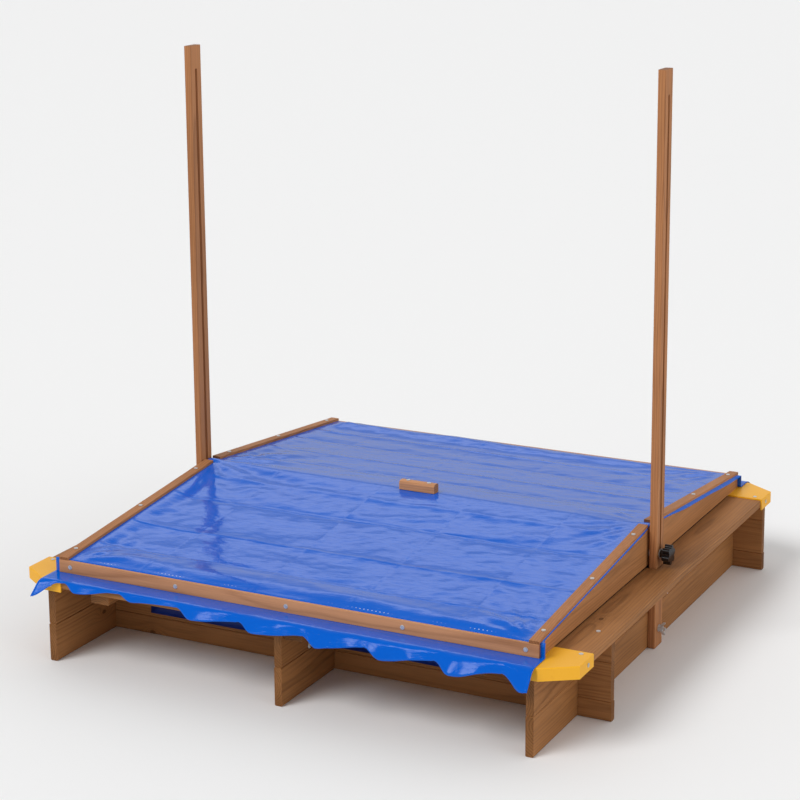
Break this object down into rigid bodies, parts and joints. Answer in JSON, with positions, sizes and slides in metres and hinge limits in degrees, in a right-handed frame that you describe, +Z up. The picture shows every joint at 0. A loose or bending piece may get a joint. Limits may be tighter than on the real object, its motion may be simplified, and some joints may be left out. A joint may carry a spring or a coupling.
{
  "type": "sandbox with cover",
  "caption": "Low wooden sandbox of lapped planks with bench edges, plastic corner caps and a tarpaulin cover on a tent frame that slides up two slotted posts and tilts as a sunshade.",
  "frame": {"origin": "on the ground, at the centre of the overall outline", "axes": "+Z up, +X along the front edge to the right, front faces -Y"},
  "size_m": [1.2084, 1.262, 1.18],
  "materials": {
    "stained_pine": "stained, satin",
    "post_pine": "stained, satin",
    "frame_pine": "stained, satin",
    "cap_plastic": "moulded, satin",
    "knob_plastic": "gloss",
    "zinc_steel": "zinc plated",
    "cover_tarpaulin": "woven polyethylene, glossy",
    "liner_tarpaulin": "woven polyethylene"
  },
  "bodies": {
    "box": {"back_bench": "stained_pine", "back_wall_bottom": "stained_pine", "back_wall_middle": "stained_pine", "back_wall_top": "stained_pine", "bench_screws": "zinc_steel", "cap_back_left": "cap_plastic", "cap_back_right": "cap_plastic", "cap_front_left": "cap_plastic", "cap_front_right": "cap_plastic", "cap_screws": "zinc_steel", "cleat_left": "stained_pine", "cleat_middle": "stained_pine", "cleat_right": "stained_pine", "cleat_screws": "zinc_steel", "front_bench_inner": "stained_pine", "front_bench_outer": "stained_pine", "front_wall_bottom": "stained_pine", "front_wall_middle": "stained_pine", "front_wall_top": "stained_pine", "ground_liner": "liner_tarpaulin", "left_bench": "stained_pine", "left_post": "post_pine", "left_wall_lower": "stained_pine", "left_wall_upper": "stained_pine", "post_bolts": "zinc_steel", "post_washers": "zinc_steel", "right_bench": "stained_pine", "right_post": "post_pine", "right_wall_lower": "stained_pine", "right_wall_upper": "stained_pine", "stub_bolt": "zinc_steel", "stub_lower": "stained_pine", "stub_nut": "zinc_steel", "stub_upper": "stained_pine"},
    "clamp": {"clamp_bolts": "zinc_steel", "clamp_spacers": "zinc_steel", "clamp_washers": "zinc_steel"},
    "cover": {"right_gable": "frame_pine", "left_gable": "frame_pine", "front_rail": "frame_pine", "back_rail": "frame_pine", "ridge_beam": "frame_pine", "cover_sheet": "cover_tarpaulin", "front_batten": "frame_pine", "back_batten": "frame_pine", "strip_front_right": "frame_pine", "strip_front_left": "frame_pine", "strip_back_right": "frame_pine", "strip_back_left": "frame_pine", "ridge_handle": "frame_pine", "batten_screws": "zinc_steel", "strip_screws": "zinc_steel", "handle_screws": "zinc_steel", "frame_screws": "zinc_steel"},
    "right_knob": {"right_knob": "knob_plastic"},
    "left_knob": {"left_knob": "knob_plastic"},
    "wing_nut_right_lower": {"wing_nut_right_lower": "zinc_steel"},
    "wing_nut_right_upper": {"wing_nut_right_upper": "zinc_steel"},
    "wing_nut_left_lower": {"wing_nut_left_lower": "zinc_steel"},
    "wing_nut_left_upper": {"wing_nut_left_upper": "zinc_steel"}
  },
  "joints": [
    {"name": "cover_lift", "type": "slide", "parent": "box", "child": "clamp", "axis": [0, 0, 1], "range_m": [0, 0.925]},
    {"name": "cover_tilt", "type": "hinge", "parent": "clamp", "child": "cover", "pos_m": [0, 0, 0.199], "axis": [1, 0, 0], "range_deg": [0, 27]},
    {"name": "right_knob_turn", "type": "hinge", "parent": "clamp", "child": "right_knob", "pos_m": [0.556, 0, 0.199], "axis": [1, 0, 0], "continuous": true},
    {"name": "left_knob_turn", "type": "hinge", "parent": "clamp", "child": "left_knob", "pos_m": [-0.556, 0, 0.199], "axis": [-1, 0, 0], "continuous": true},
    {"name": "wing_nut_right_lower_turn", "type": "hinge", "parent": "box", "child": "wing_nut_right_lower", "pos_m": [0.5516, 0, 0.039], "axis": [1, 0, 0], "continuous": true},
    {"name": "wing_nut_right_upper_turn", "type": "hinge", "parent": "box", "child": "wing_nut_right_upper", "pos_m": [0.5516, 0, 0.117], "axis": [1, 0, 0], "continuous": true},
    {"name": "wing_nut_left_lower_turn", "type": "hinge", "parent": "box", "child": "wing_nut_left_lower", "pos_m": [-0.5516, 0, 0.039], "axis": [-1, 0, 0], "continuous": true},
    {"name": "wing_nut_left_upper_turn", "type": "hinge", "parent": "box", "child": "wing_nut_left_upper", "pos_m": [-0.5516, 0, 0.117], "axis": [-1, 0, 0], "continuous": true}
  ],
  "couplings": [
    {"joint": "cover_tilt", "follows": "cover_lift", "rad_per_m": 0.5}
  ]
}
